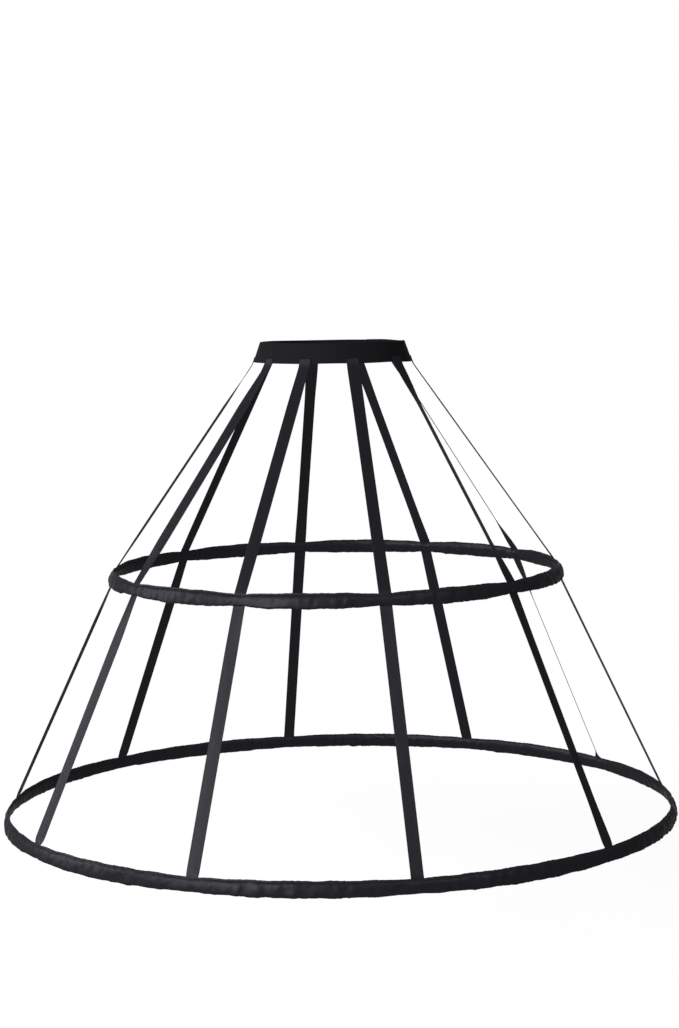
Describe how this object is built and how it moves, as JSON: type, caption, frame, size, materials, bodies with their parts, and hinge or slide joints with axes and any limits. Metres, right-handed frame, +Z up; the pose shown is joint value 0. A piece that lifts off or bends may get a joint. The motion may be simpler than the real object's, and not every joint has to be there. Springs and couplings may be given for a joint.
{
  "type": "crinoline cage",
  "caption": "Open crinoline cage of black ribbons hung from an elastic waistband, holding fabric-covered steel hoops that spread a skirt.",
  "frame": {"origin": "middle of the waist opening, at half the waistband's height", "axes": "+Z up along the wearer's body, -Y towards the wearer's front, +X towards the wearer's left"},
  "size_m": [1.0063, 1.0077, 0.7123],
  "materials": {
    "waist_elastic": "matt ribbed elastic",
    "ribbon": "satin woven tape",
    "casing_satin": "gathered satin",
    "hoop_steel": "spring steel strip",
    "sleeve_metal": "rolled brass",
    "thread": "matt sewing thread"
  },
  "bodies": {
    "root": {"waistband": "waist_elastic", "ribbon_front_left": "ribbon", "ribbon_fore_left": "ribbon", "ribbon_side_left": "ribbon", "ribbon_rear_left": "ribbon", "ribbon_back_left": "ribbon", "ribbon_front_right": "ribbon", "ribbon_fore_right": "ribbon", "ribbon_side_right": "ribbon", "ribbon_rear_right": "ribbon", "ribbon_back_right": "ribbon", "upper_casing": "casing_satin", "lower_casing": "casing_satin", "upper_bone": "hoop_steel", "lower_bone": "hoop_steel", "upper_joining_sleeve": "sleeve_metal", "lower_joining_sleeve": "sleeve_metal", "waist_stitches": "thread", "upper_hoop_stitches": "thread", "lower_hoop_stitches": "thread"}
  },
  "joints": []
}
